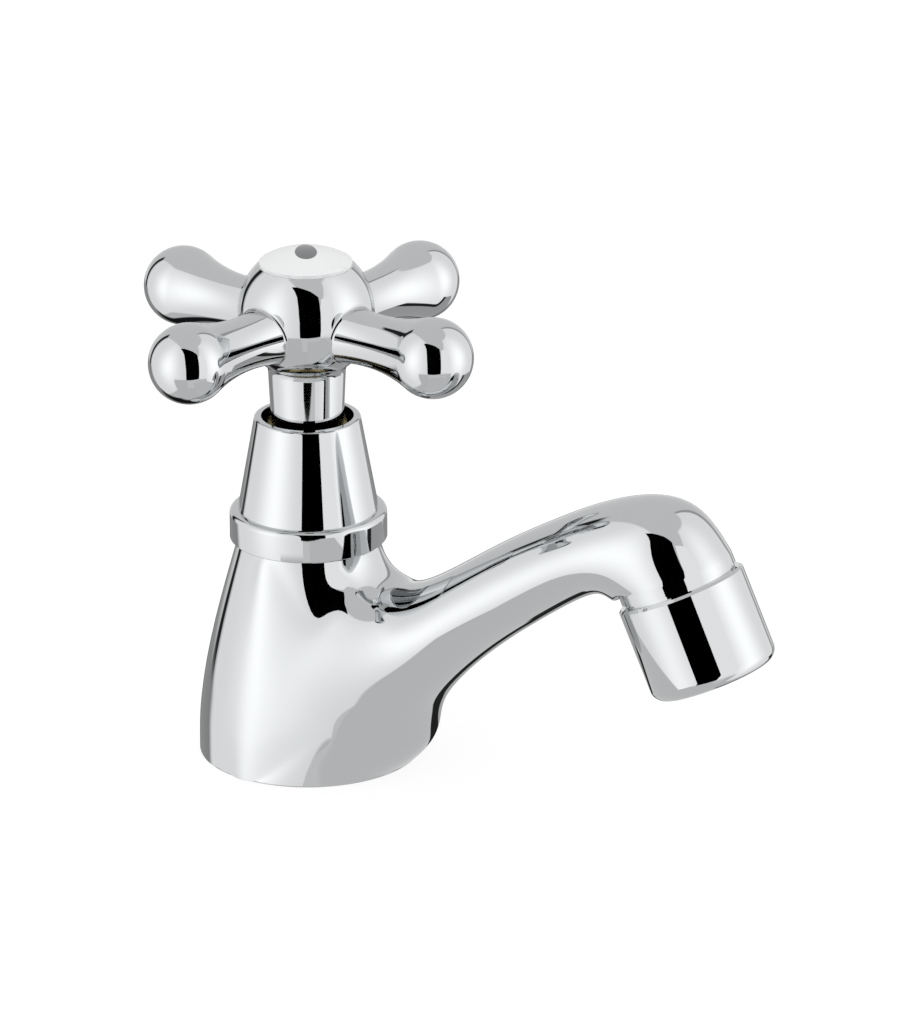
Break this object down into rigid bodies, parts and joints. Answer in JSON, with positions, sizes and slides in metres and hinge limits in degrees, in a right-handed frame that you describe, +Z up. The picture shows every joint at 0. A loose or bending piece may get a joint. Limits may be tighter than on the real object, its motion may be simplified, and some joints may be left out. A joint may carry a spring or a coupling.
{
  "type": "basin pillar tap",
  "caption": "Deck-mounted basin pillar tap with a four-armed cross handle, rising-spindle valve, curved spout, aerator and threaded tail.",
  "frame": {"origin": "centre of the base's underside, on the deck's top surface, on the axis of the tail and spindle", "axes": "+Z up along the spindle, +X from the trunk to the spout's outlet"},
  "size_m": [0.1385, 0.0786, 0.1498],
  "materials": {
    "chrome_body": "polished chrome plate",
    "brass": "machined brass",
    "steel": "bright steel",
    "fibre": "pressed fibre",
    "black_rubber": "moulded rubber",
    "white_plastic": "glossy moulded plastic",
    "grey_plastic": "moulded acetal"
  },
  "bodies": {
    "tap_body": {"body_casting": "chrome_body", "inlet_tail": "brass", "tail_seal": "fibre", "base_gasket": "black_rubber", "deck_washer": "black_rubber", "plate_washer": "steel", "backnut": "brass", "bonnet_seal": "fibre", "headwork_bonnet": "brass", "packing_washer": "brass", "packing_rings": "black_rubber", "packing_follower": "brass", "gland_nut": "brass", "shroud": "chrome_body", "aerator_sleeve": "chrome_body", "aerator_washer": "black_rubber", "aerator_cage": "grey_plastic", "aerator_screens": "steel", "outlet_grid": "grey_plastic"},
    "jumper": {"jumper_valve": "brass", "valve_washer": "black_rubber", "jumper_nut": "brass"},
    "handle": {"spindle": "brass", "handle_cross": "chrome_body", "handle_insert": "brass", "handle_screw": "steel", "index_button": "white_plastic"}
  },
  "joints": [
    {"name": "valve_lift", "type": "slide", "parent": "tap_body", "child": "jumper", "axis": [0, 0, 1], "range_m": [0, 0.00504]},
    {"name": "handle_turn", "type": "hinge", "parent": "jumper", "child": "handle", "pos_m": [0, 0, 0.031], "axis": [0, 0, 1], "range_deg": [0, 1035]}
  ],
  "couplings": [
    {"joint": "valve_lift", "follows": "handle_turn", "m_per_rad": 0.00027852}
  ]
}
